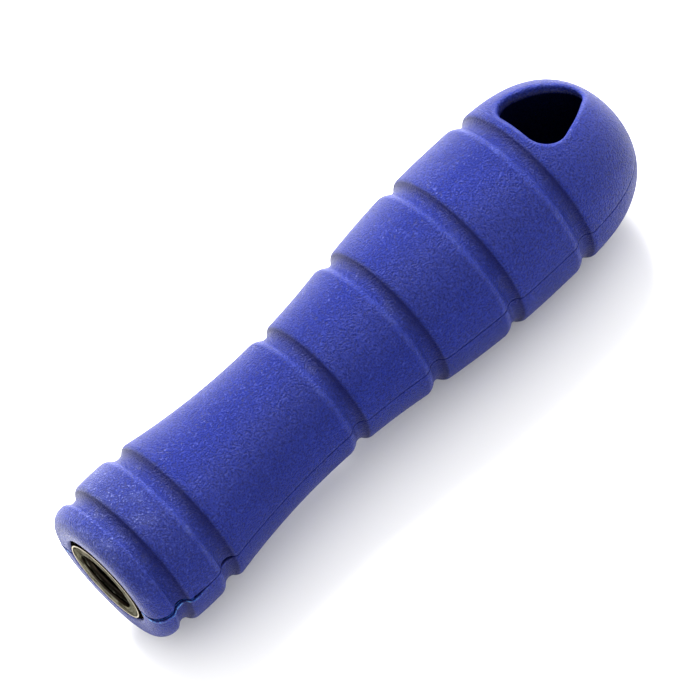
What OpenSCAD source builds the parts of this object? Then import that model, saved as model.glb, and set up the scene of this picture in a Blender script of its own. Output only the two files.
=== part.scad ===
// Screw-on handle for a hand file: two welded half shells around a steel threaded insert.
// The handle lies along X with the file end at +X. The seam is the XY plane and the hang hole runs along Z.
// The origin is the centre of the threaded bore, where its countersink ends.

/* [Handle] */
// Length of the moulded body from nose to butt
handle_l = 120; // [110:1:130]
// Diameter of the lip around the nose
lip_d = 28.3; // [27:0.1:30]
// Diameter of the ribbed band behind the lip
band_d = 29.9; // [29:0.1:32]
// Diameter at the waist
waist_d = 25; // [24:0.1:26]
// Distance of the waist behind the nose
waist_s = 41.7; // [40:0.1:44]
// Radius of the long hollow curve of the waist
waist_arc = 133; // [120:1:150]
// Diameter at the thickest place
swell_d = 32.7; // [32:0.1:35]
// Distance of the thickest place behind the nose
swell_s = 91; // [88:0.5:94]
// Radius of the long full curve up to the thickest place
swell_arc = 163; // [150:1:180]
// Radius of the rounded nose corner
nose_round = 3; // [2:0.1:3]
// Distance of the start of the butt's dome behind the nose
dome_s = 96.4; // [94:0.2:97]
// How long the dome stays full before it closes, as an exponent
dome_fullness = 2.9; // [2.4:0.1:3.2]
// How blunt the end of the dome is, as an exponent
dome_bluntness = 2.28; // [2:0.02:2.6]

/* [Grip grooves] */
// Distance of the first grip groove behind the nose
grip_s = 48.4; // [47:0.1:50]
// Spacing of the grip grooves
grip_pitch = 16.85; // [16:0.05:17]
// Radius of the bottom of a grip groove
grip_r = 1.8; // [1.4:0.1:2.2]
// Depth of a grip groove
grip_depth = 1.07; // [0.6:0.01:1.3]
// Radius of the lip on the nose side of a grip groove
grip_lip_front = 2.45; // [1:0.05:3]
// Radius of the lip on the butt side of a grip groove
grip_lip_rear = 1.05; // [0.6:0.05:2]

/* [Band grooves] */
// Distance of the groove between lip and band behind the nose
front_groove_s = 5.2; // [5:0.05:5.4]
// Depth of that groove
front_groove_depth = 0.82; // [0.5:0.01:1]
// Distance of the groove between band and waist behind the nose
rear_groove_s = 15.85; // [15:0.05:16.5]
// Depth of that groove
rear_groove_depth = 1.05; // [0.6:0.01:1.3]

/* [Shells] */
// Wall thickness away from the grooves
wall = 3.4; // [3:0.1:4]
// Thickness of the cross webs and of the shoulder behind the insert
web_t = 2; // [1.6:0.1:3]
// Width of the slots that the webs leave for the file's tang
tang_slot_w = 12; // [11:0.5:13]
// Height of those slots
tang_slot_h = 5.2; // [5:0.1:6]
// Diameter of the locating pegs
peg_d = 2.2; // [1.8:0.1:2.6]
// Height of the locating pegs above the seam
peg_h = 2.4; // [1.5:0.1:3]
// Rounding of the moulded edge around the insert
mouth_round = 0.7; // [0.4:0.1:1]

/* [Hang hole] */
// Distance of the hole's straight edge behind the nose
hole_s = 102.5; // [101.5:0.1:103.5]
// Width of the hole across the handle
hole_w = 14; // [12:0.1:15]
// Length of the hole along the handle
hole_l = 13.6; // [12:0.1:14]
// Radius of the two wide corners
hole_corner_r = 3.7; // [3:0.1:4]
// Radius of the corner that points at the butt
hole_apex_r = 3; // [2:0.1:3.2]
// How far the two long sides bow outwards
hole_bow = 0.45; // [0.3:0.05:0.5]
// Thickness of the sleeve around the hole
sleeve_t = 2.2; // [1.8:0.1:2.6]

/* [Threaded insert] */
// Diameter over the knurl
insert_d = 17.7; // [17:0.1:18.2]
// Length of the insert
insert_l = 18; // [16:0.5:20]
// Diameter of the bore at the thread's crests
bore_d = 10.65; // [10:0.05:11]
// Diameter of the countersink at the face
mouth_d = 12; // [11.6:0.1:12.6]
// Depth of the countersink
mouth_depth = 0.6; // [0.4:0.05:1]
// Number of knurl teeth
knurl_n = 40; // [30:1:48]
// Depth of the knurl
knurl_depth = 0.4; // [0.2:0.05:0.6]
// Distance of the insert's locking groove behind its face
lock_s = 7; // [6:0.1:9]
// Width of the locking groove
lock_w = 3.4; // [3:0.1:4]
// Diameter at the bottom of the locking groove
lock_d = 15; // [14.6:0.1:15.6]

/* [Hidden] */
$fn = 96;
arc_steps = 6;
eps = 0.02;

// The nose is a countersink's depth in front of the origin.
nose_x = mouth_depth;
lip_r = lip_d / 2;
band_r = band_d / 2;
waist_r = waist_d / 2;
swell_r = swell_d / 2;
insert_r = insert_d / 2;
// The seat clears the knurl's crests by a hair, and its rib clears the locking groove.
fit_gap = 0.05;
seat_r = insert_r + fit_gap;
seat_end = insert_l + 0.1;
lock_gap = 0.2;
throat_r = 6.6;
cavity_s = seat_end + web_t;
cavity_end = handle_l - wall;
// The band is slightly barrel-shaped, by this much over its half length.
band_mid = (front_groove_s + rear_groove_s) / 2;
band_crown = 0.14;
band_half = 3.6;
grip_n = 4;
// Groove rows: place behind the nose, bottom radius, depth, front lip radius, rear lip radius.
GROOVES = concat(
    [[front_groove_s, 1.65, front_groove_depth, 1.2, 1.1]],
    [[rear_groove_s, 2.1, rear_groove_depth, 1.85, 1.25]],
    [for (i = [0:grip_n - 1]) [grip_s + i * grip_pitch, grip_r, grip_depth, grip_lip_front, grip_lip_rear]]
);
// Cross webs, each with a peg's boss at both of its ends.
WEB_ROWS = [30, 57, 75];
boss_d = 4.2;
peg_inset = 1.2;
peg_root = 1;
socket_gap = 0.1;
socket_spare = 0.3;

// Radius of the smooth skin at a distance s behind the nose, before any groove is cut.
function waist_skin(s) = waist_r + waist_arc - sqrt(pow(waist_arc, 2) - pow(s - waist_s, 2));
function swell_skin(s) = swell_r - swell_arc + sqrt(pow(swell_arc, 2) - pow(min(s - swell_s, 0), 2));
function band_skin(s) = band_r - band_crown * pow((s - band_mid) / band_half, 2);
function dome_skin(s, top, start, end) =
    top * pow(1 - pow(min(max(s - start, 0) / (end - start), 1), dome_fullness), 1 / dome_bluntness);
// Zone 0 is the lip, 1 the band, 2 and 3 the waist, 4 and 5 the swell, and 6 the dome.
function skin(zone, s) =
    zone == 0 ? lip_r :
    zone == 1 ? band_skin(s) :
    zone < 4 ? waist_skin(s) :
    zone < 6 ? swell_skin(s) : dome_skin(s, swell_r, dome_s, handle_l);
// The second grip groove parts the waist from the swell.
tie_s = grip_s + grip_pitch;
function inner_skin(s) = (s < tie_s ? waist_skin(s) : swell_skin(s)) - wall;

// Points on an arc about c, as [place, radius] pairs, with angles from the butt direction.
function arc(c, r, a0, a1, steps) =
    [for (i = [0:steps]) let (a = a0 + (a1 - a0) * i / steps) [c[0] + r * cos(a), c[1] + r * sin(a)]];
// The same arc without its last point, where the next arc starts.
function open_arc(c, r, a0, a1, steps) = [for (i = [0:steps - 1]) arc(c, r, a0, a1, steps)[i]];
function groove_depth_r(k) =
    min(skin(k, GROOVES[k][0]), skin(k + 1, GROOVES[k][0])) - GROOVES[k][2] + GROOVES[k][1];
// Place of a lip's centre: its arc touches the skin above it and the groove's arc beside it.
function lip_place(k, zone, lip, side, s, rounds) =
    rounds == 0 ? s :
    let (reach = GROOVES[k][1] + lip)
    let (drop = groove_depth_r(k) - skin(zone, s) + lip)
    lip_place(k, zone, lip, side, GROOVES[k][0] + side * sqrt(reach * reach - drop * drop), rounds - 1);
function lip_centre(k, zone, lip, side) =
    let (s = lip_place(k, zone, lip, side, GROOVES[k][0] + side * 2, 12))
    [s, skin(zone, s) - lip];
// The outline of one groove: front lip, bottom, rear lip.
function groove_outline(k) =
    let (g = GROOVES[k])
    let (centre = [g[0], groove_depth_r(k)])
    let (front = lip_centre(k, k, g[3], -1))
    let (rear = lip_centre(k, k + 1, g[4], 1))
    let (front_a = atan2(centre[1] - front[1], centre[0] - front[0]))
    let (rear_a = atan2(centre[1] - rear[1], centre[0] - rear[0]))
    concat(
        open_arc(front, g[3], 90, front_a, arc_steps),
        open_arc(centre, g[1], 180 + front_a, 180 + rear_a, 2 * arc_steps),
        arc(rear, g[4], rear_a, 90, arc_steps)
    );
// The run of skin between two grooves, or from the last groove to the butt.
function run(zone, s0, s1, steps) =
    [for (i = [1:steps - 1]) let (s = s0 + (s1 - s0) * i / steps) [s, skin(zone, s)]];
function front_edge(k) = lip_centre(k, k, GROOVES[k][3], -1)[0];
function rear_edge(k) = lip_centre(k, k + 1, GROOVES[k][4], 1)[0];
last = len(GROOVES) - 1;
// Steps in the run of skin before each groove; the lip before the first has none.
RUN_STEPS = [0, 4, 10, 4, 4, 2];
cavity_steps = 12;
cavity_dome_steps = 10;
dome_steps = 18;
// The dome is stepped evenly by angle, so that its blunt end keeps its curve.
function dome_run(s0, top, start, end, steps) =
    [for (i = [1:steps]) let (s = end - (end - s0) * pow(1 - sin(90 * i / steps), 1.3))
        [s, dome_skin(s, top, start, end)]];

function body_outline() = concat(
    [[0, 0]],
    arc([nose_round, lip_r - nose_round], nose_round, 180, 90, arc_steps + 2),
    [for (k = [0:last]) each concat(
        k == 0 ? [] : run(k, rear_edge(k - 1), front_edge(k), RUN_STEPS[k]),
        groove_outline(k))],
    dome_run(rear_edge(last), swell_r, dome_s, handle_l, dome_steps)
);
function cavity_outline() = concat(
    [[cavity_s, 0]],
    [for (i = [0:cavity_steps])
        let (s = cavity_s + (dome_s - cavity_s) * i / cavity_steps) [s, inner_skin(s)]],
    dome_run(dome_s, swell_r - wall, dome_s, cavity_end, cavity_dome_steps)
);
// The seat for the insert: a rounded mouth, the bore, and a rib that fills the locking groove.
function seat_outline() = concat(
    [[-1, 0], [-1, seat_r + mouth_round]],
    arc([mouth_round, seat_r + mouth_round], mouth_round, 180, 270, arc_steps),
    [[lock_s + lock_gap, seat_r], [lock_s + lock_gap, lock_d / 2 + fit_gap]],
    [[lock_s + lock_w - lock_gap, lock_d / 2 + fit_gap], [lock_s + lock_w - lock_gap, seat_r]],
    [[seat_end, seat_r], [seat_end, 0]]
);

// Turns a list of [place, radius] pairs about the handle's axis, over the top half or all round.
module turned(points, angle) {
    translate([nose_x, 0, 0])
        rotate([0, -90, 0])
            rotate([0, 0, -90])
                rotate_extrude(angle = angle)
                    polygon([for (p = points) [p[1], p[0]]]);
}
module axial_cylinder(r, s0, s1) {
    translate([nose_x - s1, 0, 0])
        rotate([0, 90, 0])
            cylinder(r = r, h = s1 - s0);
}

// The hang hole is drawn with arcs: a tip that points at the butt, two bowed sides and two wide corners.
// side_angle is the direction that a straight side would face.
corner_s = hole_s + hole_corner_r;
corner_y = hole_w / 2 - hole_corner_r;
apex_s = hole_s + hole_l - hole_apex_r;
bow_r = 16;
side_run = apex_s - corner_s;
side_angle = acos((hole_corner_r - hole_apex_r) / norm([side_run, corner_y])) - atan2(corner_y, side_run);
side_s = (corner_s + apex_s + (hole_corner_r + hole_apex_r) * cos(side_angle)) / 2;
side_y = (corner_y + (hole_corner_r + hole_apex_r) * sin(side_angle)) / 2;
bow_s = side_s + (hole_bow - bow_r) * cos(side_angle);
bow_y = side_y + (hole_bow - bow_r) * sin(side_angle);
function wrap(angle) = angle - 360 * floor(angle / 360);
// Direction that the line touching two circles faces, going from the apex towards a corner.
function touch(s0, y0, r0, s1, y1, r1) =
    wrap(atan2(y1 - y0, s1 - s0) - acos((r0 - r1) / norm([s1 - s0, y1 - y0])));
apex_touch = touch(apex_s, 0, hole_apex_r, bow_s, bow_y, bow_r);
corner_touch = touch(bow_s, bow_y, bow_r, corner_s, corner_y, hole_corner_r);
// Half of the hole's outline, from its tip at the butt end to its straight edge.
function half_hole(grow) = concat(
    arc([apex_s, 0], hole_apex_r + grow, 0, apex_touch, arc_steps),
    arc([bow_s, bow_y], bow_r + grow, apex_touch, corner_touch, arc_steps),
    arc([corner_s, corner_y], hole_corner_r + grow, corner_touch, 180, 2 * arc_steps)
);
// The hang hole's outline, grown by some amount: one half, then its mirror image back to the tip.
module hole_shape(grow) {
    half = half_hole(grow);
    polygon(concat(
        [for (p = half) [nose_x - p[0], p[1]]],
        [for (i = [len(half) - 1:-1:1]) [nose_x - half[i][0], -half[i][1]]]
    ));
}
module hole_prism(grow) {
    translate([0, 0, -swell_d])
        linear_extrude(height = 2 * swell_d)
            hole_shape(grow);
}

// Everything that stands inside the hollow of a shell.
module inner_structure() {
    for (s = WEB_ROWS)
        axial_cylinder(swell_r, s - web_t / 2, s + web_t / 2);
    for (s = WEB_ROWS, side = [-1, 1])
        translate([nose_x - s, side * (inner_skin(s) - peg_inset), -swell_r])
            cylinder(d = boss_d, h = 2 * swell_r, $fn = 32);
    hole_prism(sleeve_t);
}
module tang_slot() {
    translate([nose_x - dome_s, -tang_slot_w / 2, -tang_slot_h / 2])
        cube([dome_s - cavity_s + eps, tang_slot_w, tang_slot_h]);
}
// The upper shell without its sockets. The lower shell is its mirror image with pegs.
module half_shell() {
    difference() {
        turned(body_outline(), 180);
        difference() {
            turned(cavity_outline(), 360);
            inner_structure();
        }
        turned(seat_outline(), 360);
        axial_cylinder(throat_r, seat_end - eps, cavity_s + eps);
        tang_slot();
        hole_prism(0);
    }
}
module at_pegs() {
    for (s = WEB_ROWS, side = [-1, 1])
        translate([nose_x - s, side * (inner_skin(s) - peg_inset), 0])
            children();
}

module upper_shell() {
    color("royalblue")
        difference() {
            half_shell();
            at_pegs()
                translate([0, 0, -eps])
                    cylinder(d = peg_d + 2 * socket_gap, h = peg_h + socket_spare, $fn = 32);
        }
}

module lower_shell() {
    color("mediumblue")
        union() {
            mirror([0, 0, 1])
                half_shell();
            at_pegs()
                translate([0, 0, -peg_root])
                    cylinder(d = peg_d, h = peg_h + peg_root, $fn = 32);
        }
}

module knurled_bar() {
    translate([nose_x - insert_l, 0, 0])
        rotate([0, 90, 0])
            linear_extrude(height = insert_l)
                polygon([for (i = [0:2 * knurl_n - 1])
                    let (r = i % 2 == 0 ? insert_r : insert_r - knurl_depth)
                    [r * cos(i * 180 / knurl_n), r * sin(i * 180 / knurl_n)]]);
}
// Rings that are turned off the bar: a chamfer at each end, and the locking groove between them.
chamfer = 0.4;
clear_r = insert_r + 1;
FRONT_CHAMFER = [[-1, insert_r - chamfer - 1], [-1, clear_r], [chamfer + 1, clear_r]];
REAR_CHAMFER = [for (p = FRONT_CHAMFER) [insert_l - p[0], p[1]]];
LOCK_RING = [
    [lock_s, lock_d / 2],
    [lock_s, clear_r],
    [lock_s + lock_w, clear_r],
    [lock_s + lock_w, lock_d / 2]
];
COUNTERSINK = [
    [-eps, 0],
    [-eps, mouth_d / 2],
    [0, mouth_d / 2],
    [mouth_depth, bore_d / 2],
    [mouth_depth, 0]
];
module threaded_insert() {
    color("dimgray")
        difference() {
            knurled_bar();
            for (ring = [FRONT_CHAMFER, REAR_CHAMFER, LOCK_RING, COUNTERSINK])
                turned(ring, 360);
            axial_cylinder(bore_d / 2, -1, insert_l + 1);
        }
}

upper_shell();
lower_shell();
threaded_insert();
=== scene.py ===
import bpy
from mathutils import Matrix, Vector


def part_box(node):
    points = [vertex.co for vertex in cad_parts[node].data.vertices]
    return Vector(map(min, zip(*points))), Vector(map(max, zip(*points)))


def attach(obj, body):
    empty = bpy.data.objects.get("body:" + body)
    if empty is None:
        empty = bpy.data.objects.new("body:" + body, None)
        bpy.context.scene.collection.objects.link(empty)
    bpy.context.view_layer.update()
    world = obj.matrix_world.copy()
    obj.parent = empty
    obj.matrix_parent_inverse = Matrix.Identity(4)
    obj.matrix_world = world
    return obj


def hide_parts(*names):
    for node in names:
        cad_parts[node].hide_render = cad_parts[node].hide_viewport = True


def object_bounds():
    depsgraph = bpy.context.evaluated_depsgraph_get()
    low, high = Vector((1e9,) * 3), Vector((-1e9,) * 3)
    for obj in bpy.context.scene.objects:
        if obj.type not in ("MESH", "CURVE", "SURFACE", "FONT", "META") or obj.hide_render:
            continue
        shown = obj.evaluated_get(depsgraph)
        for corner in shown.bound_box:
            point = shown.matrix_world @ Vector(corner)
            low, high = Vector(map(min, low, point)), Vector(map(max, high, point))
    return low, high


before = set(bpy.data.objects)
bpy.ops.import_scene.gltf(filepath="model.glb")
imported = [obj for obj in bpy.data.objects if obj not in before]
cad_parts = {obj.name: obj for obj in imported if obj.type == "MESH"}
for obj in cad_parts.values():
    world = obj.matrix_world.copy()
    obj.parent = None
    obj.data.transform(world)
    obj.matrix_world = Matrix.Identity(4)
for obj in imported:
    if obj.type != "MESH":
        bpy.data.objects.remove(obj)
cad_box = [list(corner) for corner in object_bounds()]

from bisect import bisect_right
from collections import namedtuple
from math import acos, asin, atan2, cos, exp, hypot, pi, radians, sin, sqrt

import bmesh
import bpy
from mathutils import Matrix, Vector
from mathutils.geometry import delaunay_2d_cdt

# ---- Camera, table and light ----------------------------------------------------------------
# The handle lies on a plain pale table in a bright, even room, with one large soft lamp over its nose.
# The camera looks down on it from the nose's side, with the seam turned a little towards the viewer.
MM = 0.001
tilt = radians(13.35)
seam_turn = radians(54.45)
slant = radians(43.02)
camera_distance = 933.9
aim_s = 58.0
aim_drop = 0.42
lens_mm = 282.86

toward_butt = Vector((-cos(tilt), sin(tilt) * cos(seam_turn), sin(tilt) * sin(seam_turn)))
across = Vector((0, sin(seam_turn), -cos(seam_turn)))
look = Vector((-sin(tilt), -cos(tilt) * cos(seam_turn), -cos(tilt) * sin(seam_turn)))
right = cos(slant) * toward_butt + sin(slant) * across
up = sin(slant) * toward_butt - cos(slant) * across
nose_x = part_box("upper_shell")[1][0] / MM
aim = Vector((nose_x - aim_s, 0, 0)) - aim_drop * across


def make_object(name, data):
    """A new object in the scene that holds a mesh, a lamp or a camera."""
    piece = bpy.data.objects.new(name, data)
    bpy.context.collection.objects.link(piece)
    return piece


camera_data = bpy.data.cameras.new("studio_camera")
camera_data.sensor_width = 36
camera_data.lens = lens_mm
camera_data.clip_start = 0.01
camera = make_object("studio_camera", camera_data)
camera.matrix_world = Matrix.Translation((aim - camera_distance * look) * MM) @ Matrix(
    [[right[i], up[i], -look[i], 0] for i in range(3)] + [[0, 0, 0, 1]])
bpy.context.scene.camera = camera


def add_lamp(name, direction, distance_m, size_m, power):
    """A square soft lamp that shines at the middle of the handle."""
    lamp_data = bpy.data.lights.new(name, "AREA")
    lamp_data.size = size_m
    lamp_data.energy = power
    lamp = make_object(name, lamp_data)
    direction = direction.normalized()
    lamp.location = aim * MM + direction * distance_m
    lamp.rotation_euler = direction.to_track_quat("Z", "Y").to_euler()


add_lamp("key_lamp", 0.35 * toward_butt - across - 0.08 * look, 1.1, 0.7, 44)

room = bpy.data.worlds.new("bright_room")
bpy.context.scene.world = room
room.use_nodes = True
backdrop = room.node_tree.nodes["Background"].inputs
backdrop["Color"].default_value = (1.0, 1.0, 1.0, 1.0)
backdrop["Strength"].default_value = 1.4
bpy.context.scene.view_settings.view_transform = "Standard"

table_clear = 0.02
table_half_m = 3.0
table_z = cad_box[0][2] - table_clear * MM
table_corners = [(-table_half_m, -table_half_m, table_z), (table_half_m, -table_half_m, table_z),
                 (table_half_m, table_half_m, table_z), (-table_half_m, table_half_m, table_z)]
table_mesh = bpy.data.meshes.new("table")
table_mesh.from_pydata(table_corners, [], [(0, 1, 2, 3)])
table = make_object("table", table_mesh)
table_paint = bpy.data.materials.new("table_paint")
table_paint.use_nodes = True
paint_inputs = table_paint.node_tree.nodes["Principled BSDF"].inputs
paint_inputs["Base Color"].default_value = (0.93, 0.93, 0.93, 1)
paint_inputs["Roughness"].default_value = 0.8
table_mesh.materials.append(table_paint)

# ---- Half shells ----------------------------------------------------------------------------
# Two grained polypropylene mouldings, mirror images but for their pegs, welded along the seam.
# Each is half of a turned outline: lip, ribbed band, hollow waist, full swell and a blunt domed butt.
handle_l = (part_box("upper_shell")[1][0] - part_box("upper_shell")[0][0]) / MM
swell_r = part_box("upper_shell")[1][1] / MM
swell_s = 91
swell_arc = 163
lip_r = 14.15
nose_round = 3
band_r = 14.95
band_crown = 0.14
band_half = 3.6
waist_r = 12.5
waist_s = 41.7
waist_arc = 133
dome_s = 96.4
dome_fullness = 2.9
dome_bluntness = 2.28
mouth_round = 0.7
seat_r = 8.9
seat_end = 18.1

Groove = namedtuple("Groove", "place bottom_r depth front_lip rear_lip")
nose_grooves = [Groove(5.2, 1.65, 0.82, 1.2, 1.1), Groove(15.85, 2.1, 1.05, 1.85, 1.25)]
first_grip_s = 48.4
grip_spacing = 16.85
grooves = nose_grooves + [Groove(first_grip_s + grip_spacing * k, 1.8, 1.07, 2.45, 1.05) for k in range(4)]
band_mid = (grooves[0].place + grooves[1].place) / 2


def dome_skin(s, top, start, end):
    """Radius of a blunt dome that starts at one place and closes at another."""
    share = min(max(s - start, 0) / (end - start), 1)
    return top * (1 - share ** dome_fullness) ** (1 / dome_bluntness)


def skin(zone, s):
    """The smooth skin's radius in zone 0 (lip), 1 (band), 2 and 3 (waist), 4 and 5 (swell) or 6 (dome)."""
    if zone == 0:
        return lip_r
    if zone == 1:
        return band_r - band_crown * ((s - band_mid) / band_half) ** 2
    if zone < 4:
        return waist_r + waist_arc - sqrt(waist_arc ** 2 - (s - waist_s) ** 2)
    if zone < 6:
        return swell_r - swell_arc + sqrt(swell_arc ** 2 - min(s - swell_s, 0) ** 2)
    return dome_skin(s, swell_r, dome_s, handle_l)


# One row of the outline: place, radius, how rubbed it is (paler as wear and as painted highlight), how deep
# in a groove (dust and painted shade), and its share of the slot.
Row = namedtuple("Row", "s r rub hollow seam")


def bottom_centre(k):
    """Centre of the round bottom of groove k."""
    groove = grooves[k]
    skin_r = min(skin(k, groove.place), skin(k + 1, groove.place))
    return groove.place, skin_r - groove.depth + groove.bottom_r


def lip_centre(k, side):
    """Centre of a groove's lip: its arc touches the skin above it and the groove's bottom arc beside it."""
    groove = grooves[k]
    zone = k if side < 0 else k + 1
    lip = groove.front_lip if side < 0 else groove.rear_lip
    s = groove.place + groove.bottom_r * side
    for _ in range(12):
        drop = bottom_centre(k)[1] - skin(zone, s) + lip
        s = groove.place + side * sqrt((groove.bottom_r + lip) ** 2 - drop ** 2)
    return s, skin(zone, s) - lip


def arc_rows(centre, radius, start, end, steps, rub, hollow, seam=1.0):
    """Rows along an arc, without its last point. rub and hollow are functions of the share of the way."""
    rows = []
    for step in range(steps):
        share = step / steps
        angle = start + (end - start) * share
        rows.append(Row(centre[0] + radius * cos(angle), centre[1] + radius * sin(angle),
                        rub(share), hollow(share), seam))
    return rows


def groove_rows(k):
    """Front lip, bottom and rear lip of one groove."""
    groove = grooves[k]
    centre, front, rear = bottom_centre(k), lip_centre(k, -1), lip_centre(k, 1)
    front_angle = atan2(centre[1] - front[1], centre[0] - front[0])
    rear_angle = atan2(centre[1] - rear[1], centre[0] - rear[0])
    lip_steps, bottom_steps = 8, 14
    # The front lip is rubbed and carries a painted highlight; painted shade darkens the groove's bottom
    # towards the rear wall, and the rear wall most.
    front_dust_and_shade, rear_wall_shade = 0.3, 1.3
    rows = arc_rows(front, groove.front_lip, pi / 2, front_angle, lip_steps,
                    lambda a: sin(pi * a), lambda a: front_dust_and_shade * a * a)
    rows += arc_rows(centre, groove.bottom_r, pi + front_angle, pi + rear_angle, bottom_steps,
                     lambda a: 0.0, lambda a: min(rear_wall_shade, front_dust_and_shade + 0.4 * sin(pi * a) + a ** 3))
    rows += arc_rows(rear, groove.rear_lip, rear_angle, pi / 2, lip_steps,
                     lambda a: 0.0, lambda a: rear_wall_shade * (1 - a) ** 1.5)
    return rows


def body_rows():
    """The outline of a shell, from the back of the insert's seat round the nose and along to the butt."""
    rib_s, rib_w, rib_r = 7.2, 3.0, 7.55
    inside = [(seat_end, 0), (seat_end, 2.2), (seat_end, 4.4), (seat_end, seat_r), (rib_s + rib_w, seat_r),
              (rib_s + rib_w, rib_r), (rib_s, rib_r), (rib_s, seat_r), (3.0, seat_r)]
    rows = [Row(s, r, 0, 0, 0) for s, r in inside]
    # Towards the seat the mouth's rounding is painted darker, as shade in the gap round the insert; the
    # mouth's rounding, the crown and the nose's rounding are paler, as rubbing and painted highlight.
    rows += arc_rows((mouth_round, seat_r + mouth_round), mouth_round, 3 * pi / 2, pi, 8,
                     lambda a: a, lambda a: 1 - a, 0.25)
    crown_r = seat_r + mouth_round
    shoulder_r = lip_r - nose_round
    rows += [Row(0, crown_r + (shoulder_r - crown_r) * share, 0.6, 0, 1) for share in (0, 0.33, 0.67)]
    rows += arc_rows((nose_round, shoulder_r), nose_round, pi, pi / 2, 14, lambda a: 0.3, lambda a: 0.0)
    rows.append(Row(nose_round, lip_r, 0.2, 0, 1))
    row_spacing = 1.1
    for k in range(len(grooves)):
        if k:
            start, end = lip_centre(k - 1, 1)[0], lip_centre(k, -1)[0]
            steps = max(4, round((end - start) / row_spacing))
            for step in range(steps):
                s = start + (end - start) * step / steps
                rows.append(Row(s, skin(k, s), 0, 0, 1))
        rows += groove_rows(k)
    # The rows crowd together towards the butt, where the dome turns in.
    last_s = lip_centre(len(grooves) - 1, 1)[0]
    dome_steps = 56
    for step in range(dome_steps + 1):
        s = handle_l - (handle_l - last_s) * (1 - sin(pi / 2 * step / dome_steps)) ** 1.3
        rows.append(Row(s, skin(6, s), 0, 0, 1))
    return rows


def row_normals(rows):
    """Outward direction at each row, as (along the axis towards the butt, outwards)."""
    normals = []
    for i in range(len(rows)):
        before, after = rows[max(i - 1, 0)], rows[min(i + 1, len(rows) - 1)]
        ds, dr = after.s - before.s, after.r - before.r
        length = hypot(ds, dr)
        normals.append((-dr / length, ds / length))
    return normals


# The seam: the shells meet a hair apart, with a fine slot outside that opens up at the nose and in the
# band's grooves, where the weld sank. The lower shell stands a little proud there.
seam_clear = 0.01
seam_gap = 0.16
seam_edge = 0.07
seam_depth = 0.32
seam_sink = 0.3
sunk_edge = 0.09
sunk_depth = 0.45
nose_weld_s = 9.5
proud_step = 0.22
melt_reach = 0.6


def fade_out(s, end, softness):
    """A share that is 1 before a place and 0 after it."""
    return 1 / (1 + exp((s - end) / softness))


def seam_opening(s):
    """How far the seam has opened at a place, from 0 to 1."""
    at_nose = 0.6 * fade_out(s, nose_weld_s, 0.8) + 0.4 * exp(-s / 1.5)
    in_grooves = max(exp(-((s - groove.place) / 1.5) ** 2) for groove in nose_grooves)
    ripple = 0.06 * sin(1.7 * s) + 0.05 * sin(4.1 * s + 1)
    return min(1, max(0, max(at_nose, in_grooves) + ripple))


def half_slot(opening):
    """Half of the slot's width, where the seam has opened by some share."""
    return seam_clear + 0.5 * seam_gap + seam_sink * opening


def seam_columns(row):
    """Height above the parting plane and depth below the skin of the edge's columns, from the seam up."""
    shrink = min(1, row.r / 4)
    opening = seam_opening(row.s) * row.seam
    half_gap = half_slot(opening) * shrink
    edge = (seam_edge + sunk_edge * opening) * shrink
    depth = (seam_depth + sunk_depth * opening) * row.seam * shrink
    lean = 0.006 * shrink
    return [(seam_clear * shrink, depth), (half_gap, depth), (half_gap + lean, edge * row.seam),
            (half_gap + lean + 0.3 * edge, 0.3 * edge * row.seam), (half_gap + lean + edge, 0)]


# The hang hole: a rounded triangle whose point is at the butt, with a soft rim.
hole_s = 102.5
hole_w = 14
hole_l = 13.6
hole_corner_r = 3.7
hole_apex_r = 3
hole_bow = 0.45
hole_bow_r = 16
rim_r = 1.1
rim_border = 0.4
patch_start = 100.6
patch_end = 118.6
patch_angle = 51


def touch_angle(one, other):
    """Direction that the line touching two circles faces, on their right going from one to the other."""
    run, rise = other[0] - one[0], other[1] - one[1]
    return atan2(rise, run) - acos((one[2] - other[2]) / hypot(run, rise))


def hole_circles():
    """The circles (place, side, radius) that the hang hole's outline rolls around, corner to corner."""
    corner = (hole_s + hole_corner_r, hole_corner_r - hole_w / 2, hole_corner_r)
    apex = (hole_s + hole_l - hole_apex_r, 0, hole_apex_r)
    facing = touch_angle(corner, apex)
    reach = hole_bow - hole_bow_r
    bow_s = (corner[0] + apex[0] + (hole_corner_r + hole_apex_r) * cos(facing)) / 2 + reach * cos(facing)
    bow_y = (corner[1] + (hole_corner_r + hole_apex_r) * sin(facing)) / 2 + reach * sin(facing)
    return [corner, (bow_s, bow_y, hole_bow_r), apex, (bow_s, -bow_y, hole_bow_r),
            (corner[0], -corner[1], hole_corner_r)]


def hole_ring(grow):
    """Points (place, side) around the hang hole's outline, grown by some amount."""
    circles = hole_circles()
    arcs = []
    for k, (s, y, radius) in enumerate(circles):
        start = touch_angle(circles[k - 1], circles[k])
        end = touch_angle(circles[k], circles[(k + 1) % len(circles)])
        turn = (end - start) % (2 * pi)
        steps = 14 if radius < hole_bow_r else 8
        arcs.append([(s + (radius + grow) * cos(start + turn * step / steps),
                      y + (radius + grow) * sin(start + turn * step / steps)) for step in range(steps + 1)])
    ring = []
    for one, following in zip(arcs, arcs[1:] + arcs[:1]):
        ring += one
        (s0, y0), (s1, y1) = one[-1], following[0]
        steps = 12 if one is arcs[-1] else 4
        ring += [(s0 + (s1 - s0) * step / steps, y0 + (y1 - y0) * step / steps) for step in range(1, steps)]
    return ring


def inside_ring(ring, s, y):
    """Whether a point lies inside a ring, which is convex and runs one way round."""
    return all((b[0] - a[0]) * (y - a[1]) - (b[1] - a[1]) * (s - a[0]) > 0
               for a, b in zip(ring, ring[1:] + ring[:1]))


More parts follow.
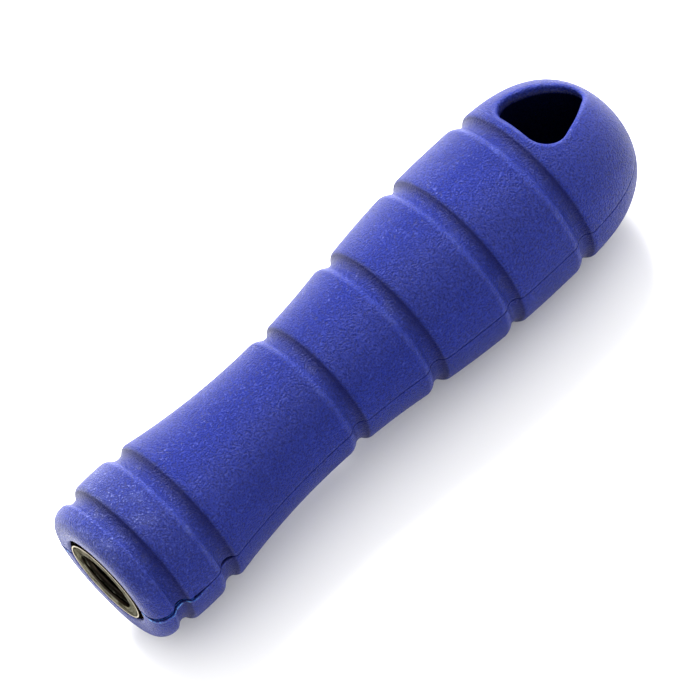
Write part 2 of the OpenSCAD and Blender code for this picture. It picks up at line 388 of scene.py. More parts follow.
class Points:
    """The points of a shell in the making, each with how rubbed it is (wear and painted highlight), how deep
    (dust and painted shade) and how melted it is.
    """

    def __init__(self, side):
        self.side = side
        self.coords = []
        self.marks = []

    def add(self, s, y, z, rub, hollow, melt=0.0):
        """Adds a point and returns its index. z is counted from the parting plane outwards."""
        self.coords.append(Vector((nose_x - s, y, self.side * z)))
        self.marks.append((rub, hollow, melt))
        return len(self.coords) - 1

    def flat(self, index):
        """A point's place and side."""
        return nose_x - self.coords[index].x, self.coords[index].y


def fill_between(points, outer, inner, loose, hole):
    """Triangles between two loops of points and outside a ring, through some loose points."""
    used = outer + inner + loose
    split = len(outer)
    loops = [list(range(split)), list(range(split, split + len(inner)))]
    edges = [edge for loop in loops for edge in zip(loop, loop[1:] + loop[:1])]
    flat = [Vector(points.flat(i)) for i in used]
    coords, _, faces, origins, _, _ = delaunay_2d_cdt(flat, edges, [], 1, 1e-6)
    filled = []
    for face in faces:
        middle = sum((coords[i] for i in face), Vector((0, 0))) / len(face)
        if not inside_ring(hole, middle.x, middle.y):
            filled.append([used[origins[i][0]] for i in face])
    return filled


skin_spans = 76


def skin_line(points, row, n_s, n_r):
    """One row of points over a shell, from the seam's slot on one side to the slot on the other."""
    columns = seam_columns(row)
    # Beside the nose the lower shell's rim stands proud of the upper's, and is melted.
    lower = points.side < 0
    proud = proud_step * n_r * row.seam * fade_out(row.s, nose_weld_s, 0.7) if lower else 0
    melt = row.seam * fade_out(row.s, nose_weld_s, 0.5) if lower else 0
    edge_angle = asin(min(1, columns[-1][0] / row.r)) if row.r > 0 else 0
    # The slot's walls are painted dark as shade, and its edge is rubbed and carries a painted highlight.
    slot_shade = (2, 2, 0.9, 0, 0)
    line = []
    for mirror in (1, -1):
        part = []
        for column, (height, depth) in enumerate(columns):
            lift = proud - depth
            radius = max(row.r + lift * n_r, 0)
            y = mirror * sqrt(max(radius ** 2 - height ** 2, 0))
            on_edge = column > 2
            part.append(points.add(row.s + lift * n_s, y, height, min(1, row.rub + 0.5) if on_edge else 0,
                                   max(row.hollow, slot_shade[column] * row.seam), melt if on_edge else 0))
        if mirror < 0:
            return line + part[::-1]
        line += part
        for span in range(1, skin_spans):
            angle = edge_angle + (pi - 2 * edge_angle) * span / skin_spans
            away = row.r * min(angle, pi - angle)
            radius = row.r + proud * max(0, 1 - away / 3) ** 2
            line.append(points.add(row.s, radius * cos(angle), radius * sin(angle), row.rub, row.hollow,
                                   melt if away < melt_reach else 0))


def skin_height(rows, s, y):
    """Height of the skin above the parting plane, from the rows of the outline around a place."""
    places = [row.s for row in rows]
    after = min(max(bisect_right(places, s), 1), len(places) - 1)
    a, b = rows[after - 1], rows[after]
    radius = a.r + (b.r - a.r) * (s - a.s) / (b.s - a.s)
    return sqrt(max(radius ** 2 - y ** 2, 0))


def hole_rings(points, rows):
    """Rings of points from the parting plane up the hang hole's wall and out over its soft rim."""
    rim_steps = 7
    quarter = [pi / 2 * step / rim_steps for step in range(rim_steps + 1)]
    grown = [rim_r * (1 - cos(angle)) for angle in quarter] + [rim_r + rim_border]
    drops = [rim_r * (1 - sin(angle)) for angle in quarter] + [0]
    rings = []
    for grow, drop in zip(grown, drops):
        # A band round the rim's rounding is paler, as rubbing and as painted highlight.
        rub = max(0, min(1, 2 * (1 - abs(2 * drop / rim_r - 0.7)))) if drop else 0
        rings.append([points.add(s, y, skin_height(rows, s, y) - drop, rub, 0) for s, y in hole_ring(grow)])
    # Below the rim the wall is painted dark as shade, nearly black in the depths.
    dark_drop = rim_r + 1.6
    dark_top = [points.add(s, y, max(skin_height(rows, s, y) - dark_drop, 1), 0, 2) for s, y in hole_ring(0)]
    wall = [points.add(s, y, seam_clear, 0, 2) for s, y in hole_ring(0)]
    return [wall, dark_top] + rings


def heal(mesh, merge=True):
    """Merges points that coincide, if asked, and turns the normals outwards."""
    work = bmesh.new()
    work.from_mesh(mesh)
    if merge:
        bmesh.ops.remove_doubles(work, verts=work.verts, dist=0.0001)
        bmesh.ops.dissolve_degenerate(work, edges=work.edges, dist=0.0001)
        loose = [vert for vert in work.verts if not vert.link_faces]
        bmesh.ops.delete(work, geom=loose, context="VERTS")
    bmesh.ops.recalc_face_normals(work, faces=work.faces)
    work.to_mesh(mesh)
    work.free()


def shell_mesh(name, side):
    """The outside of one half shell as a closed mesh. side is 1 for the upper shell and -1 for the lower."""
    rows = body_rows()
    points = Points(side)
    grid = [skin_line(points, row, *normal) for row, normal in zip(rows, row_normals(rows))]

    # The patch around the hang hole is left out of the grid, between two rows and two columns.
    width = len(grid[0])
    patch_rows = [i for i, row in enumerate(rows) if row.seam and patch_start < row.s < patch_end]
    first, final = patch_rows[0], patch_rows[-1]
    left = len(seam_columns(rows[first])) - 1 + round(skin_spans * patch_angle / 180)
    far = width - 1 - left
    faces = []
    for i in range(len(rows) - 1):
        for j in range(width - 1):
            if not (first <= i < final and left <= j < far):
                faces.append((grid[i][j], grid[i + 1][j], grid[i + 1][j + 1], grid[i][j + 1]))

    rings = hole_rings(points, [row for row in rows if row.seam and row.s > hole_s / 2])
    for inner, out in zip(rings, rings[1:]):
        count = len(inner)
        for j in range(count):
            faces.append((inner[j], out[j], out[(j + 1) % count], inner[(j + 1) % count]))

    border = [grid[first][j] for j in range(left, far + 1)]
    border += [grid[i][far] for i in range(first + 1, final + 1)]
    border += [grid[final][j] for j in range(far - 1, left - 1, -1)]
    border += [grid[i][left] for i in range(final - 1, first, -1)]
    clear_ring = hole_ring(rim_r + 2 * rim_border)
    loose = [grid[i][j] for i in range(first + 1, final) for j in range(left + 1, far)
             if not inside_ring(clear_ring, *points.flat(grid[i][j]))]
    faces += fill_between(points, border, rings[-1], loose, hole_ring(rim_r + rim_border))

    # The parting face, with the hang hole's outline left open.
    parting = [line[0] for line in grid] + [line[-1] for line in reversed(grid)][1:-1]
    faces += fill_between(points, parting, rings[0], [], hole_ring(0))

    mesh = bpy.data.meshes.new(name)
    mesh.from_pydata(points.coords, [], faces)
    for column, title in enumerate(("rub", "hollow", "melt")):
        layer = mesh.attributes.new(title, "FLOAT", "POINT")
        layer.data.foreach_set("value", [mark[column] for mark in points.marks])
    heal(mesh)
    return mesh


def feed(tree, socket, value):
    """Links a socket to another, or sets its value."""
    if isinstance(value, bpy.types.NodeSocket):
        tree.links.new(value, socket)
    else:
        socket.default_value = value


def calc(tree, operation, *values):
    """A Math node's result."""
    node = tree.nodes.new("ShaderNodeMath")
    node.operation = operation
    for socket, value in zip(node.inputs, values):
        feed(tree, socket, value)
    return node.outputs[0]


def times(tree, first, second):
    """Two values multiplied."""
    return calc(tree, "MULTIPLY", first, second)


def times_plus(tree, value, factor, added):
    """A value times a factor, and something added."""
    return calc(tree, "MULTIPLY_ADD", value, factor, added)


def ramp(tree, value, low, high, out_low=0.0, out_high=1.0, kind="SMOOTHSTEP"):
    """A value brought from one range to another and held at the ends."""
    node = tree.nodes.new("ShaderNodeMapRange")
    node.interpolation_type = kind
    for socket, given in zip(node.inputs, (value, low, high, out_low, out_high)):
        feed(tree, socket, given)
    return node.outputs[0]


def blend_colour(tree, share, first, second):
    """Two colours mixed."""
    node = tree.nodes.new("ShaderNodeMix")
    node.data_type = "RGBA"
    for index, value in ((0, share), (6, first), (7, second)):
        feed(tree, node.inputs[index], value)
    return node.outputs[2]


def texture(tree, kind, **inputs):
    """A texture node on the piece's own coordinates, with its inputs set by name."""
    node = tree.nodes.new(kind)
    tree.links.new(tree.nodes.new("ShaderNodeTexCoord").outputs["Object"], node.inputs["Vector"])
    for title, value in inputs.items():
        feed(tree, node.inputs[title.replace("_", " ")], value)
    return node


def new_group(name, inputs, outputs):
    """An empty shader group with float inputs, given as {name: default}, and named outputs."""
    group = bpy.data.node_groups.new(name, "ShaderNodeTree")
    for title, value in inputs.items():
        socket = group.interface.new_socket(title, in_out="INPUT", socket_type="NodeSocketFloat")
        socket.default_value = value
    for title in outputs:
        group.interface.new_socket(title, in_out="OUTPUT", socket_type="NodeSocketFloat")
    return group, group.nodes.new("NodeGroupInput").outputs, group.nodes.new("NodeGroupOutput").inputs


def place_group(tree, group, **inputs):
    """The group in a material, with its inputs set."""
    node = tree.nodes.new("ShaderNodeGroup")
    node.node_tree = group
    for title, value in inputs.items():
        feed(tree, node.inputs[title.replace("_", " ")], value)
    return node.outputs


# The pebbled finish that spark erosion leaves in a mould, with its size given in pebbles per metre.
spark_grain, given, result = new_group(
    "spark_grain", {"Pebbles": 3000, "Sharpness": 0.65}, ["Height", "Speck", "Pit"])
pebble = texture(
    spark_grain, "ShaderNodeTexNoise", Scale=given["Pebbles"], Detail=2.5, Roughness=given["Sharpness"])
feed(spark_grain, result["Height"], ramp(spark_grain, pebble.outputs["Fac"], 0.34, 0.66))
feed(spark_grain, result["Speck"], ramp(spark_grain, pebble.outputs["Fac"], 0.56, 0.70))
feed(spark_grain, result["Pit"], ramp(spark_grain, pebble.outputs["Fac"], 0.49, 0.40))

# Cloudy patches, as handling, dust and cutting oil leave them.
clouds, given, result = new_group("clouds", {"Scale": 60, "Low": 0.4, "High": 0.7}, ["Mask"])
cloud = texture(clouds, "ShaderNodeTexNoise", Scale=given["Scale"], Detail=5.0, Roughness=0.62)
feed(clouds, result["Mask"], ramp(clouds, cloud.outputs["Fac"], given["Low"], given["High"]))


def bump(tree, height, strength, distance_mm):
    """A bumped normal."""
    node = tree.nodes.new("ShaderNodeBump")
    node.inputs["Strength"].default_value = strength
    node.inputs["Distance"].default_value = distance_mm * MM
    feed(tree, node.inputs["Height"], height)
    return node.outputs["Normal"]


scuff_and_sheen_colour = (0.23, 0.26, 0.46, 1)
dust_colour = (0.04, 0.045, 0.12, 1)
painted_shade_colour = (0.0025, 0.004, 0.067, 1)
deep_shade_colour = (0.001, 0.002, 0.014, 1)
melt_colour = (0.1, 0.27, 0.66, 1)


def plastic_material(name, body, pale_and_sheen, grain_depth_mm):
    """Grained polypropylene: a body colour, paler where it is rubbed or carries a painted highlight, dusty
    in its grooves, and dull and painted darker as shade in its grooves, slot and hang hole.
    """
    material = bpy.data.materials.new(name)
    material.use_nodes = True
    tree = material.node_tree
    shader = tree.nodes["Principled BSDF"]
    grain = place_group(tree, spark_grain)
    wide = place_group(tree, clouds, Scale=55, Low=0.35, High=0.7)["Mask"]
    smudge = place_group(tree, clouds, Scale=260, Low=0.48, High=0.72)["Mask"]
    marks = {}
    for title in ("rub", "hollow", "melt"):
        node = tree.nodes.new("ShaderNodeAttribute")
        node.attribute_name = title
        marks[title] = node.outputs["Fac"]
    # The body colour, with its grain's pits painted dark as shade, and pale specks on the pebbles' tops that
    # are partly the plastic's fleck and partly painted glint.
    deep = (body[0] * 0.3, body[1] * 0.32, body[2] * 0.36, 1)
    colour = blend_colour(tree, times(tree, wide, 0.2), body, deep)
    colour = blend_colour(tree, times(tree, grain["Pit"], 0.8), colour, deep)
    colour = blend_colour(tree, times(tree, grain["Speck"], 0.2), colour, pale_and_sheen)
    # Scuffs lie on the lip and the band, painted paler mostly on the side that faces the key lamp, so they
    # are partly painted highlight.
    place = tree.nodes.new("ShaderNodeSeparateXYZ")
    tree.links.new(tree.nodes.new("ShaderNodeTexCoord").outputs["Object"], place.inputs[0])
    near_nose = ramp(tree, place.outputs["X"], (nose_x - 19) * MM, (nose_x - 9) * MM)
    toward_lamp = times_plus(tree, place.outputs["Y"], -across[1], times(tree, place.outputs["Z"], -across[2]))
    scuffed_and_lit = times(tree, near_nose, ramp(tree, toward_lamp, -6 * MM, 12 * MM, 0.15, 1.0))
    patchy = times_plus(tree, smudge, 0.7, 0.3)
    raised = times_plus(tree, grain["Speck"], 0.7, 0.13)
    colour = blend_colour(tree, times(tree, scuffed_and_lit, times(tree, patchy, raised)), colour, scuff_and_sheen_colour)
    # Rubbed edges are paler, as wear and as painted highlight.
    worn_and_sheen = times(tree, marks["rub"], times_plus(tree, smudge, 0.16, 0.07))
    colour = blend_colour(tree, worn_and_sheen, colour, pale_and_sheen)
    # Dust greys the bottom of a groove; painted shade darkens its rear wall and the seam's slot, and the
    # depths of the hang hole are painted nearly black as shade.
    dusty = times(tree, ramp(tree, marks["hollow"], 0.1, 0.5), times_plus(tree, smudge, 0.3, 0.1))
    colour = blend_colour(tree, dusty, colour, dust_colour)
    colour = blend_colour(tree, ramp(tree, marks["hollow"], 0.55, 1.2, 0.0, 0.8), colour, painted_shade_colour)
    colour = blend_colour(tree, ramp(tree, marks["hollow"], 1.4, 2.0), colour, deep_shade_colour)
    # Melted plastic beside the weld is paler and greener.
    ragged = place_group(tree, clouds, Scale=800, Low=0.48, High=0.6)["Mask"]
    colour = blend_colour(tree, times(tree, marks["melt"], ragged), colour, melt_colour)
    feed(tree, shader.inputs["Base Color"], colour)
    # Rubbing polishes the grain and flattens it; where the shade is painted darkest, in the slot and the
    # hang hole, the shine is taken off too.
    feed(tree, shader.inputs["Specular IOR Level"], ramp(tree, marks["hollow"], 1.0, 1.8, 0.145, 0.0))
    roughness = times_plus(tree, marks["rub"], -0.1, times_plus(tree, wide, 0.08, 0.4))
    feed(tree, shader.inputs["Roughness"], roughness)
    relief = times(tree, grain["Height"], times_plus(tree, marks["rub"], -0.5, 1.0))
    feed(tree, shader.inputs["Normal"], bump(tree, relief, 1.0, grain_depth_mm))
    return material


blue_plastic = plastic_material("blue_plastic", (0.0043, 0.0146, 0.208, 1), (0.10, 0.125, 0.32, 1), 0.26)


def cut(piece, tool, operation="DIFFERENCE"):
    """Cuts the tool out of the piece, or joins it on, and removes the tool."""
    step = piece.modifiers.new("cut", "BOOLEAN")
    step.operation = operation
    step.solver = "EXACT"
    step.object = tool
    finished = bpy.data.meshes.new_from_object(piece.evaluated_get(bpy.context.evaluated_depsgraph_get()))
    piece.modifiers.remove(step)
    piece.data = finished
    bpy.data.objects.remove(tool)


# Inside, cross webs carry the tang and the pegs' bosses, and a sleeve closes off the hang hole.
wall = 3.4
web_t = 2
web_places = (30, 57, 75)
tang_slot_w = 12
tang_slot_h = 5.2
boss_r = 2.1
peg_r = 1.1
peg_h = 2.4
peg_inset = 1.2
socket_r = 1.2
socket_h = 2.7
sleeve_t = 2.2
throat_r = 6.6
cavity_s = seat_end + web_t


def inner_skin(s):
    """Radius of the hollow: the second grip groove parts the waist from the swell."""
    return skin(3 if s < grooves[3].place else 4, s) - wall


def turned(name, outline, columns=72):
    """A solid of revolution about the handle's axis, from (place, radius) pairs that start and end on it."""
    angles = [2 * pi * (j + 0.5) / columns for j in range(columns)]
    points = [(nose_x - s, r * cos(angle), r * sin(angle)) for s, r in outline for angle in angles]
    faces = [(i * columns + j, i * columns + (j + 1) % columns, (i + 1) * columns + (j + 1) % columns,
              (i + 1) * columns + j) for i in range(len(outline) - 1) for j in range(columns)]
    mesh = bpy.data.meshes.new(name)
    mesh.from_pydata(points, [], faces)
    heal(mesh)
    return make_object(name, mesh)


def upright(name, outlines, z0, z1):
    """Straight prisms on one or more (place, side) outlines, from one height to another."""
    points, faces = [], []
    for outline in outlines:
        start, count = len(points), len(outline)
        points += [(nose_x - s, y, z) for z in (z0, z1) for s, y in outline]
        top = start + count
        faces += [tuple(range(start, top)), tuple(reversed(range(top, top + count)))]
        faces += [(start + j, top + j, top + (j + 1) % count, start + (j + 1) % count) for j in range(count)]
    mesh = bpy.data.meshes.new(name)
    mesh.from_pydata(points, [], faces)
    heal(mesh, merge=False)
    return make_object(name, mesh)


def peg_outlines(radius):
    """Round outlines at the pegs' places."""
    circle = [(radius * cos(pi * k / 12), radius * sin(pi * k / 12)) for k in range(24)]
    return [[(s + ds, side * (inner_skin(s) - peg_inset) + dy) for ds, dy in circle]
            for s in web_places for side in (-1, 1)]


def chamber_outline(start, end):
    """A chamber between two webs; the last one ends in its own dome."""
    body_end = min(end, dome_s)
    steps = round((body_end - start) / 3)
    outline = [(start, 0)]
    for k in range(steps + 1):
        s = start + (body_end - start) * k / steps
        outline.append((s, inner_skin(s)))
    if end == body_end:
        return outline + [(end, 0)]
    dome_steps = 14
    for k in range(1, dome_steps + 1):
        s = end - (end - dome_s) * (1 - sin(pi / 2 * k / dome_steps)) ** 1.3
        outline.append((s, dome_skin(s, swell_r - wall, dome_s, end)))
    return outline


def hollow():
    """The space inside the shells, between the webs, the bosses and the hang hole's sleeve."""
    starts = [cavity_s] + [s + web_t / 2 for s in web_places]
    ends = [s - web_t / 2 for s in web_places] + [handle_l - wall]
    chambers = [turned("chamber", chamber_outline(start, end)) for start, end in zip(starts, ends)]
    work = bmesh.new()
    for chamber in chambers:
        work.from_mesh(chamber.data)
        bpy.data.objects.remove(chamber)
    mesh = bpy.data.meshes.new("hollow")
    work.to_mesh(mesh)
    work.free()
    space = make_object("hollow", mesh)
    cut(space, upright("bosses", peg_outlines(boss_r), -swell_r, swell_r))
    cut(space, upright("sleeve", [hole_ring(sleeve_t)], -swell_r, swell_r))
    return space


def cut_inside(shell, side):
    """Hollows a shell out and gives it its pegs or its sockets."""
    cut(shell, hollow())
    # The throat and the slot reach a little past the web in front, so that no two cuts share a face.
    throat_s, throat_end, slot_s = seat_end - 0.5, cavity_s + 0.5, cavity_s + 0.2
    throat = [(throat_s, 0), (throat_s, throat_r), (throat_end, throat_r), (throat_end, 0)]
    cut(shell, turned("throat", throat))
    half_w, half_h = tang_slot_w / 2, tang_slot_h / 2
    slot_box = [(slot_s, -half_w), (dome_s, -half_w), (dome_s, half_w), (slot_s, half_w)]
    cut(shell, upright("tang_slot", [slot_box], -half_h, half_h))
    if side > 0:
        cut(shell, upright("sockets", peg_outlines(socket_r), -1, socket_h))
    else:
        cut(shell, upright("pegs", peg_outlines(peg_r), -1, peg_h), "UNION")


shell_crease = radians(38)
for shell_name, node_name, side in (("upper_half", "upper_shell", 1), ("lower_half", "lower_shell", -1)):
    shell = make_object(shell_name, shell_mesh(shell_name, side))
    cut_inside(shell, side)
    shell.data.transform(Matrix.Scale(MM, 4))
    for polygon in shell.data.polygons:
        polygon.use_smooth = True
    shell.data.set_sharp_from_angle(angle=shell_crease)
    shell.data.materials.clear()
    shell.data.materials.append(blue_plastic)
    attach(shell, "root")
    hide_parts(node_name)

# ---- Threaded insert ------------------------------------------------------------------------
# A steel bush turned from bar: knurled outside with a locking groove, threaded right through.
# It is moulded or pressed between the shells, and the file's tang screws into it.
insert_r = 8.85
insert_l = 18
bore_r = 5.325
mouth_r = 6.0
mouth_depth = 0.6
thread_pitch = 1.25
thread_root_r = 6.0
tooth_count = 40
tooth_depth = 0.4


def insert_outline():
    """The bush's closed outline as (place, radius): face, bore, back, knurled rim and locking groove."""
    chamfer, lock_s, lock_w, lock_r = 0.62, 7, 3.4, 7.5
    edge_r = insert_r - chamfer
    face = [(0, 8.05), (0, 7.4), (0, 6.7), (0, mouth_r + 0.08), (0.03, mouth_r)]
    bore_steps, mouth_steps = 150, 6
    reach = insert_l - 2 * mouth_depth
    mouth = [(mouth_depth * step / mouth_steps, mouth_r + (bore_r - mouth_r) * step / mouth_steps)
             for step in range(1, mouth_steps)]
    bore = [(mouth_depth + reach * step / bore_steps, bore_r) for step in range(bore_steps + 1)]
    bore = mouth + bore + [(insert_l - s, r) for s, r in reversed(mouth)]
    back = [(insert_l, mouth_r + 0.05), (insert_l, 7.4), (insert_l, edge_r), (insert_l - chamfer, insert_r)]
    rim = [(lock_s + lock_w + 0.1, insert_r), (lock_s + lock_w, insert_r - 0.1), (lock_s + lock_w, lock_r),
           (lock_s, lock_r), (lock_s, insert_r - 0.1), (lock_s - 0.1, insert_r)]
    rim += [(s, insert_r) for s in (5, 3, 1)] + [(chamfer, insert_r), (chamfer / 2, edge_r + chamfer / 2)]
    return face + bore + back + rim + [(0.03, edge_r + 0.02), (0, edge_r - 0.03)]


def insert_blank():
    """The bush before its thread and knurl are cut."""
    outline = insert_outline()
    columns = 6 * tooth_count
    angles = [2 * pi * j / columns for j in range(columns)]
    points = [((nose_x - s) * MM, r * cos(angle) * MM, r * sin(angle) * MM)
              for s, r in outline for angle in angles]
    faces = []
    for i in range(len(outline)):
        here, below = i * columns, (i + 1) % len(outline) * columns
        for j in range(columns):
            beside = (j + 1) % columns
            faces.append((here + j, here + beside, below + beside, below + j))
    mesh = bpy.data.meshes.new("steel_insert")
    mesh.from_pydata(points, [], faces)
    return mesh


def finish_tree(tree, group_in, geometry):
    """Ends a Geometry Nodes tree: instances made real, and the material set."""
    real = tree.nodes.new("GeometryNodeRealizeInstances")
    paint = tree.nodes.new("GeometryNodeSetMaterial")
    tree.links.new(geometry, real.inputs[0])
    tree.links.new(real.outputs[0], paint.inputs["Geometry"])
    tree.links.new(group_in.outputs["Material"], paint.inputs["Material"])
    tree.links.new(paint.outputs[0], tree.nodes.new("NodeGroupOutput").inputs[0])


def new_tree(name, sizes):
    """An empty Geometry Nodes tree with a geometry, named sizes and a material as inputs."""
    tree = bpy.data.node_groups.new(name, "GeometryNodeTree")
    tree.interface.new_socket("Geometry", in_out="INPUT", socket_type="NodeSocketGeometry")
    for title in sizes:
        tree.interface.new_socket(title, in_out="INPUT", socket_type="NodeSocketFloat")
    tree.interface.new_socket("Material", in_out="INPUT", socket_type="NodeSocketMaterial")
    tree.interface.new_socket("Geometry", in_out="OUTPUT", socket_type="NodeSocketGeometry")
    return tree, tree.nodes.new("NodeGroupInput")


def run_tree(piece, tree, values):
    """Runs a tree on a piece, with its inputs set by identifier, and keeps the result as a plain mesh."""
    step = piece.modifiers.new(tree.name, "NODES")
    step.node_group = tree
    for item in tree.interface.items_tree:
        if item.in_out == "INPUT" and item.name in values:
            step[item.identifier] = values[item.name]
    finished = bpy.data.meshes.new_from_object(piece.evaluated_get(bpy.context.evaluated_depsgraph_get()))
    piece.modifiers.remove(step)
    piece.data = finished


def from_axis(tree, y, z):
    """Distance of a point from the handle's axis."""
    return calc(tree, "SQRT", calc(tree, "ADD", times(tree, y, y), times(tree, z, z)))


def thread_and_knurl_tree():
    """Moves a blank's points outwards into a helical thread in its bore, and inwards between its teeth."""
    tree, group_in = new_tree(
        "thread_and_knurl", ["Pitch", "Crest Radius", "Root Radius", "Teeth", "Rim Radius", "Tooth Depth"])
    given = group_in.outputs
    parts = tree.nodes.new("ShaderNodeSeparateXYZ")
    tree.links.new(tree.nodes.new("GeometryNodeInputPosition").outputs[0], parts.inputs[0])
    x, y, z = parts.outputs
    radius = from_axis(tree, y, z)
    turn = calc(tree, "DIVIDE", calc(tree, "ARCTAN2", z, y), 2 * pi)

    def zigzag(phase):
        """A wave that goes from 0 up to 1 and back once in each whole step of the phase."""
        share = calc(tree, "FRACT", phase)
        return calc(tree, "SUBTRACT", 1.0, calc(tree, "ABSOLUTE", times_plus(tree, share, 2.0, -1.0)))

    wave = zigzag(calc(tree, "ADD", calc(tree, "DIVIDE", x, given["Pitch"]), turn))
    depth = calc(tree, "SUBTRACT", given["Root Radius"], given["Crest Radius"])
    cut_share = ramp(tree, wave, 0.12, 0.95, kind="LINEAR")
    threaded = calc(tree, "MAXIMUM", radius, times_plus(tree, cut_share, depth, given["Crest Radius"]))
    sunk = times(tree, zigzag(times(tree, turn, given["Teeth"])), given["Tooth Depth"])
    knurled = calc(tree, "MINIMUM", radius, calc(tree, "SUBTRACT", given["Rim Radius"], sunk))
    # The thread is cut inside a middle radius and the knurl outside it.
    rim_width = calc(tree, "SUBTRACT", given["Rim Radius"], given["Root Radius"])
    outside = calc(tree, "GREATER_THAN", radius, times_plus(tree, rim_width, 0.35, given["Root Radius"]))
    new_radius = times_plus(tree, outside, calc(tree, "SUBTRACT", knurled, threaded), threaded)
    growth = calc(tree, "DIVIDE", new_radius, radius)
    joined = tree.nodes.new("ShaderNodeCombineXYZ")
    for socket, value in zip(joined.inputs, (x, times(tree, y, growth), times(tree, z, growth))):
        feed(tree, socket, value)
    move = tree.nodes.new("GeometryNodeSetPosition")
    tree.links.new(given["Geometry"], move.inputs["Geometry"])
    tree.links.new(joined.outputs[0], move.inputs["Position"])
    finish_tree(tree, group_in, move.outputs[0])
    return tree


ring_pitch = 0.22
step_pitch = 0.68


def steel_material():
    """Dark oiled steel: rings on the face, brown-grey oxide in patches, and a painted highlight round the
    face's turned edge.
    """
    material = bpy.data.materials.new("dark_steel")
    material.use_nodes = True
    tree = material.node_tree
    shader = tree.nodes["Principled BSDF"]
    parts = tree.nodes.new("ShaderNodeSeparateXYZ")
    tree.links.new(tree.nodes.new("ShaderNodeTexCoord").outputs["Object"], parts.inputs[0])
    radius = from_axis(tree, parts.outputs["Y"], parts.outputs["Z"])
    rings = calc(tree, "SINE", times(tree, radius, 2 * pi / (ring_pitch * MM)))
    steps = calc(tree, "SINE", times(tree, radius, 2 * pi / (step_pitch * MM)))
    patches = place_group(tree, clouds, Scale=330, Low=0.42, High=0.66)["Mask"]
    stains = place_group(tree, clouds, Scale=900, Low=0.45, High=0.7)["Mask"]
    colour = blend_colour(tree, patches, (0.11, 0.108, 0.085, 1), (0.046, 0.044, 0.033, 1))
    colour = blend_colour(tree, times(tree, stains, 0.4), colour, (0.3, 0.28, 0.23, 1))
    # A painted highlight runs round the face's outer edge; the knurl is painted black for its scale and for
    # the shade in the gap round it, and the bore is painted black as shade.
    bright = times(tree, ramp(tree, radius, 7.83 * MM, 7.9 * MM), ramp(tree, radius, 8.14 * MM, 8.07 * MM))
    colour = blend_colour(tree, times(tree, bright, 0.8), colour, (0.5, 0.46, 0.38, 1))
    knurl, bore = ramp(tree, radius, 8.1 * MM, 8.17 * MM), ramp(tree, radius, mouth_r * MM, 5.7 * MM)
    black = calc(tree, "ADD", knurl, bore)
    colour = blend_colour(tree, times(tree, black, 0.93), colour, (0.012, 0.008, 0.006, 1))
    feed(tree, shader.inputs["Base Color"], colour)
    # Seen along its surface the oiled face stays dull, but for the painted highlight on the turned edge and
    # the stains; knurl and bore reflect almost nothing, as painted shade.
    glance = blend_colour(tree, patches, (0.36, 0.35, 0.31, 1), (0.17, 0.165, 0.145, 1))
    glance = blend_colour(tree, ramp(tree, steps, 0.2, 0.9, 0.0, 0.7), glance, (0.05, 0.048, 0.04, 1))
    glance = blend_colour(tree, times(tree, stains, 0.35), glance, (0.4, 0.38, 0.33, 1))
    glance = blend_colour(tree, bright, glance, (0.8, 0.75, 0.66, 1))
    glance = blend_colour(tree, times(tree, black, 0.8), glance, (0.02, 0.02, 0.02, 1))
    feed(tree, shader.inputs["Specular Tint"], glance)
    shader.inputs["Metallic"].default_value = 1.0
    feed(tree, shader.inputs["Roughness"], times_plus(tree, patches, 0.15, 0.36))
    relief = times_plus(tree, rings, 0.5, times(tree, stains, 0.8))
    feed(tree, shader.inputs["Normal"], bump(tree, relief, 0.35, 0.02))
    return material


insert = make_object("steel_insert", insert_blank())
run_tree(insert, thread_and_knurl_tree(), {
    "Pitch": thread_pitch * MM, "Crest Radius": bore_r * MM, "Root Radius": thread_root_r * MM,
    "Teeth": tooth_count, "Rim Radius": insert_r * MM, "Tooth Depth": tooth_depth * MM,
    "Material": steel_material()})
insert.data.set_sharp_from_angle(angle=radians(30))
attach(insert, "root")
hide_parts("threaded_insert")

# ---- Weld flash -----------------------------------------------------------------------------
# A ragged feather of paler plastic that the weld squeezed out of the seam, on both sides of the nose.
# It clings to the lower shell's rim and thins out along the band.
flash_end = 9
flash_step = 0.14
flash_root = 0.4
flash_reach = 0.3
flash_t = 0.11
fade_steps = 12


def flash_trail():
    """Evenly spaced places along the outline that the flash follows, as (place, radius, normal's shares)."""
    rows = [row for row in body_rows() if row.seam == 1 and row.s < flash_end]
    ends = [(row.s, row.r, n_s, n_r) for row, (n_s, n_r) in zip(rows, row_normals(rows))]
    trail = []
    for one, two in zip(ends, ends[1:]):
        steps = max(1, round(hypot(two[0] - one[0], two[1] - one[1]) / flash_step))
        trail += [[p + (q - p) * step / steps for p, q in zip(one, two)] for step in range(steps)]
    return trail


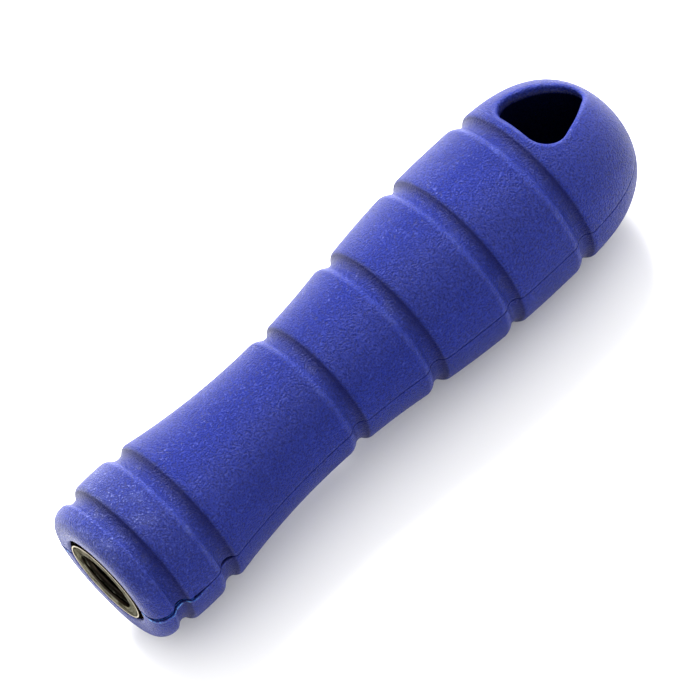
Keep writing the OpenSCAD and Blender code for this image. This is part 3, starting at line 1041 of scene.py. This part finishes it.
def flash_blank():
    """Two thin blades along the seam, with attributes for which way is outward and how free a point is."""
    trail = flash_trail()
    last = len(trail) - 1
    points, faces, outward, free = [], [], [], []
    for mirror in (1, -1):
        start = len(points)
        for k, (s, r, n_s, n_r) in enumerate(trail):
            # Two points are rooted in the lower shell and the third, the blade's edge, hangs free.
            top = 0.01 - half_slot(seam_opening(s))
            root_x = nose_x - max(s, 0.3) + flash_root * n_s
            root_y = mirror * (r - flash_root * n_r)
            edge_x = nose_x - max(s, 0.3) - min(proud_step * n_r - 0.03, 0) * n_s
            edge_y = mirror * (r + (proud_step * n_r - 0.03) * n_r)
            corners = ((root_x, root_y, top - flash_t), (root_x, root_y, top), (edge_x, edge_y, top - 0.04))
            points += [Vector(corner) * MM for corner in corners]
            outward += [(0, mirror * n_r, 0)] * 3
            free += [0, 0, min(1, k / fade_steps, (last - k) / fade_steps)]
        for k in range(last):
            for one, two in ((0, 1), (1, 2), (2, 0)):
                a, b = start + 3 * k, start + 3 * k + 3
                faces.append((a + one, a + two, b + two, b + one))
        end = start + 3 * last
        faces += [(start, start + 1, start + 2), (end + 2, end + 1, end)]
    mesh = bpy.data.meshes.new("weld_flash")
    mesh.from_pydata(points, [], faces)
    layer = mesh.attributes.new("outward", "FLOAT_VECTOR", "POINT")
    layer.data.foreach_set("vector", [value for vector in outward for value in vector])
    mesh.attributes.new("free", "FLOAT", "POINT").data.foreach_set("value", free)
    return mesh


def ragged_edge_tree():
    """Pulls the free points of a blade in and out along its outward direction, by noise."""
    tree, group_in = new_tree("ragged_edge", ["Reach", "Raggedness", "Seed"])
    given = group_in.outputs
    noise = tree.nodes.new("ShaderNodeTexNoise")
    noise.noise_dimensions = "4D"
    feed(tree, noise.inputs["Scale"], given["Raggedness"])
    feed(tree, noise.inputs["W"], given["Seed"])
    noise.inputs["Detail"].default_value = 3.0
    attributes = {}
    for title, kind in (("outward", "FLOAT_VECTOR"), ("free", "FLOAT")):
        node = tree.nodes.new("GeometryNodeInputNamedAttribute")
        node.data_type = kind
        node.inputs["Name"].default_value = title
        attributes[title] = node.outputs["Attribute"]
    swing = times_plus(tree, noise.outputs[0], 2.6, -1.15)
    pull = times(tree, times(tree, swing, given["Reach"]), attributes["free"])
    offset = tree.nodes.new("ShaderNodeVectorMath")
    offset.operation = "SCALE"
    tree.links.new(attributes["outward"], offset.inputs[0])
    tree.links.new(pull, offset.inputs["Scale"])
    move = tree.nodes.new("GeometryNodeSetPosition")
    tree.links.new(given["Geometry"], move.inputs["Geometry"])
    tree.links.new(offset.outputs[0], move.inputs["Offset"])
    finish_tree(tree, group_in, move.outputs[0])
    return tree


flash_plastic = plastic_material("flash_plastic", (0.02, 0.075, 0.36, 1), (0.22, 0.42, 0.72, 1), 0.03)
flash = make_object("weld_flash", flash_blank())
run_tree(flash, ragged_edge_tree(), {
    "Reach": flash_reach * MM, "Raggedness": 1100.0, "Seed": 3.0, "Material": flash_plastic})
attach(flash, "root")
